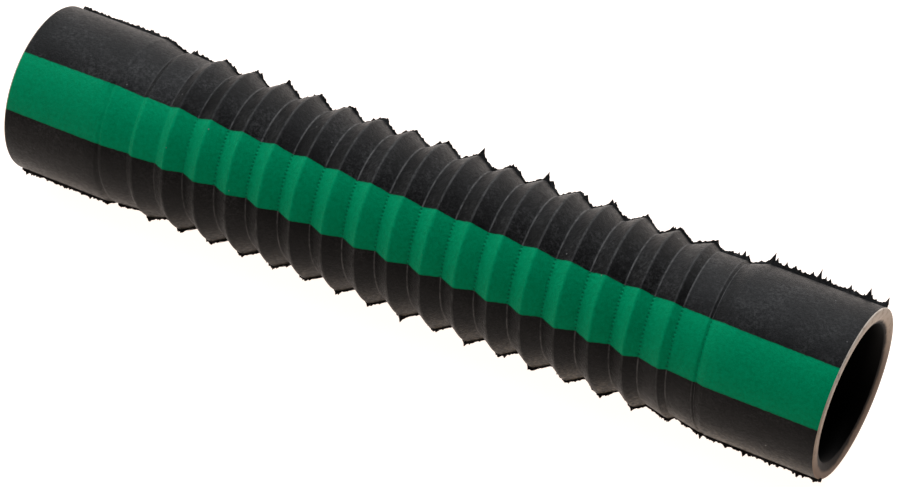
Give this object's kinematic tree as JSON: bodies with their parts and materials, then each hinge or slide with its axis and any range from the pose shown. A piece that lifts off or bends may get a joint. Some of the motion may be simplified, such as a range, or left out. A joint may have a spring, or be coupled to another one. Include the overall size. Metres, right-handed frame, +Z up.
{
  "type": "radiator coolant hose",
  "caption": "Corrugated flexible rubber radiator coolant hose with plain clamp cuffs, a green stripe and moulding flash, open from end to end.",
  "frame": {"origin": "the middle of the hose's length, on the floor under it", "axes": "+X along the hose towards the end whose open mouth faces the viewer, +Y away from the viewer, +Z up"},
  "size_m": [0.282, 0.0546, 0.0546],
  "materials": {
    "rubber": "matt moulded black rubber"
  },
  "bodies": {
    "root": {"hose": "rubber"}
  },
  "joints": []
}
